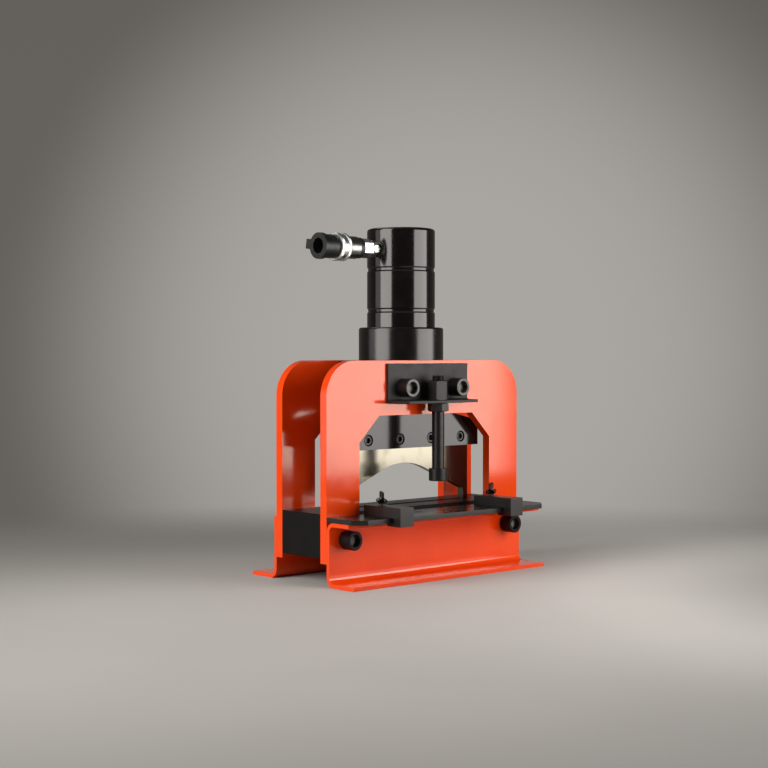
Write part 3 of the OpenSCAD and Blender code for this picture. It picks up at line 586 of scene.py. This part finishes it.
def coil(node, wire, turns, axis, fixed_end):
    """A round-wire spring with closed ends.

    The fixed end is -1 where the axis starts and 1 where it points to.
    """
    low, high = box_of(node)
    middle = (low + high) / 2
    along = Vector(axis)
    side = Vector((along.z, along.x, along.y))
    other = along.cross(side)
    length = abs((high - low).dot(along))
    mean_r = ((high - low).dot(side) - wire) / 2
    seat = middle + along * (fixed_end * length / 2)
    heading = along * -fixed_end
    end_pitch = CLOSED_PITCH * wire
    run = length - wire
    mid_pitch = (run - 2 * end_pitch) / (turns - 2)

    def rise(turn):
        if turn < 1:
            return end_pitch * turn
        if turn > turns - 1:
            return run - end_pitch * (turns - turn)
        return end_pitch + mid_pitch * (turn - 1)

    spin = [2 * math.pi * k / WIRE_SIDES for k in range(WIRE_SIDES)]
    rings = []
    for i in range(turns * COIL_STEPS + 1):
        turn = i / COIL_STEPS
        angle = 2 * math.pi * turn
        out = side * math.cos(angle) + other * math.sin(angle)
        centre = seat + heading * (wire / 2 + rise(turn)) + out * mean_r
        rings.append([centre + (out * math.cos(a) + heading * math.sin(a)) * wire / 2 for a in spin])
    form = bmesh.new()
    rows = skin_rings(form, rings)
    form.faces.new(rows[0])
    form.faces.new(rows[-1])
    bmesh.ops.recalc_face_normals(form, faces=form.faces)
    piece = piece_from(form, "coil_" + node, node)
    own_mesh(piece)


coil("return_spring", 6 * MM, 9, (0, 0, 1), -1)
coil("valve_spring", 0.8 * MM, 5, (1, 0, 0), 1)

OTHER_PIECES = {"hold_down_screw", "port_adapter", "coupler_sleeve", "return_spring", "valve_spring"}
PIECE_NODES = set(EDGE_MM) | OTHER_PIECES
for node, shown in frame["nodes"].items():
    if node not in PIECE_NODES:
        shown.data.materials.clear()
        shown.data.materials.append(finish_of(node))


def softbox(name, bearing, distance, width, low, high, radiance, tilt=0.0):
    """A lamp with an even face, which can be tilted down.

    Its bearing is in degrees from the front towards the right, its sizes are in metres.
    """
    lamp = bpy.data.lights.new(name, "AREA")
    lamp.shape = "RECTANGLE"
    lamp.size = width
    lamp.size_y = high - low
    lamp.energy = radiance * math.pi * lamp.size * lamp.size_y
    holder = bpy.data.objects.new(name, lamp)
    bpy.context.scene.collection.objects.link(holder)
    turn = math.radians(bearing)
    holder.location = (distance * math.sin(turn), -distance * math.cos(turn), (low + high) / 2)
    holder.rotation_euler = (math.radians(90 - tilt), 0.0, turn)
    holder.visible_camera = False
    return holder


def dim_edges(holder, right_end, foot):
    """Lets a lamp's face grow dim towards its right end and its foot, down to these shares."""
    face = Shades(holder.data, "ShaderNodeNewGeometry", "Parametric")
    from_right = face.between(face.towards((1.0, 0.0, 0.0)), 1.02, 0.91)
    from_foot = face.between(face.towards((0.0, 1.0, 0.0)), 0.0, 0.30)
    level = (right_end + from_right * (1.0 - right_end)) * (foot + from_foot * (1.0 - foot))
    glow = face.blend(level, grey(0), grey(255))
    shine = face.node("ShaderNodeEmission", {}, {"Color": glow, "Strength": 1.0})
    face.node("ShaderNodeOutputLight", {}, {"Surface": shine})


key = softbox("key_softbox", 27.5, 0.72, 0.70, 0.075, 0.60, 6.2)
dim_edges(key, 0.0, 0.88)
softbox("left_softbox", -95, 1.7, 1.24, 0.05, 2.1, 6.5)
softbox("left_panel", -127, 1.8, 0.62, 0.0, 0.9, 1.15)
softbox("rear_softbox", 170, 1.25, 1.4, 1.75, 2.55, 1.9, tilt=54)
softbox("top_softbox", 0, 0.0, 2.0, 1.3, 3.3, 0.26, tilt=90)

FLOOR_RADIUS = 4.5
FLOOR_SIDES = 128
FADE_CENTRE = (-0.35, -0.4, 0.0)
# LIGHT_CENTRE: the lit spot in front that the floor's painted light fall-off centres on
LIGHT_CENTRE = (-0.3, -0.35, 0.0)
# KEY_FOOT: the centre of the painted shade on the floor under the key lamp
KEY_FOOT = (0.50, -0.80, 0.0)
PICTURE_RIGHT = (0.745, -0.668, 0.0)


def floor_finish():
    """Pale grey card with a painted light fall-off that darkens it to the rear and a painted shade under
    the key lamp, then fades into the backdrop.
    """
    card = Finish("floor_card")
    fibre = card.grain(3 * MM, detail=4.0)
    cloud = card.between(card.grain(0.4, detail=3.0), 0.3, 0.7)
    near = card.blend(cloud, rgb(178, 173, 167), rgb(183, 178, 172))
    far = card.between(card.distance(FADE_CENTRE), 0.85, 1.5)
    # back, right and tone: painted light fall-off, darker with distance from the lit spot in front and
    # weaker towards the picture's right
    back = card.between(card.distance(LIGHT_CENTRE), 0.25, 0.95)
    right = card.between(card.towards(PICTURE_RIGHT), -0.2, 0.42)
    tone = card.blend(back * (1.0 - right * 0.85), near, rgb(136, 133, 127))
    # painted shade: the floor is darkened under the key lamp to cancel the pool of light it throws there
    painted_key_shade = card.between(card.distance(KEY_FOOT), 0.72, 0.36)
    shader = card.node(
        "ShaderNodeBsdfPrincipled", {},
        {
            "Base Color": card.blend(painted_key_shade, tone, rgb(104, 101, 97)),
            "Roughness": 0.75,
            "Specular IOR Level": 0.2,
            "Normal": card.bump(fibre, 0.01 * MM),
        },
    )
    clear = card.node("ShaderNodeBsdfTransparent")
    mixed = card.node("ShaderNodeMixShader", {}, {0: far, 1: shader, 2: clear})
    card.node("ShaderNodeOutputMaterial", {}, {"Surface": mixed})
    return card.owner


def floor_disc():
    """The floor that the machine stands on and that takes its shadow."""
    form = bmesh.new()
    bmesh.ops.create_circle(form, cap_ends=True, radius=FLOOR_RADIUS, segments=FLOOR_SIDES)
    mesh = bpy.data.meshes.new("floor")
    form.to_mesh(mesh)
    form.free()
    mesh.materials.append(floor_finish())
    disc = bpy.data.objects.new("floor", mesh)
    bpy.context.scene.collection.objects.link(disc)


floor_disc()

BACKDROP_BEARING = math.radians(44.3)


def backdrop():
    """A grey room: lit behind the machine, dim in front of it and overhead."""
    world = bpy.data.worlds.new("studio")
    room = Shades(world, "ShaderNodeTexCoord", "Generated")
    behind = room.towards((math.sin(BACKDROP_BEARING), math.cos(BACKDROP_BEARING), 0.0))
    overhead = room.between(room.towards((0.0, 0.0, 1.0)), 0.15, 0.8)
    wall = room.blend(room.between(behind, -0.3, 0.8), rgb(76, 74, 71), rgb(101, 97, 93))
    lit_wall = room.blend(room.between(behind, 0.955, 0.998), wall, rgb(169, 166, 161))
    shade = room.node(
        "ShaderNodeBackground", {}, {"Color": room.blend(overhead, lit_wall, grey(66)), "Strength": 1.0}
    )
    room.node("ShaderNodeOutputWorld", {}, {"Surface": shade})
    bpy.context.scene.world = world


backdrop()

CAMERA_SPOT = (-1.36896, -1.48116, 0.28770)
CAMERA_TURN = 41.88
CAMERA_TILT = 1.14
LENS_MM = 71.62
SENSOR_MM = 36.0

lens = bpy.data.cameras.new("photo_camera")
lens.sensor_width = SENSOR_MM
lens.lens = LENS_MM
camera = bpy.data.objects.new("photo_camera", lens)
bpy.context.scene.collection.objects.link(camera)
camera.location = CAMERA_SPOT
camera.rotation_euler = (math.radians(90 - CAMERA_TILT), 0.0, math.radians(-CAMERA_TURN))
bpy.context.scene.camera = camera
bpy.context.scene.view_settings.view_transform = "Standard"
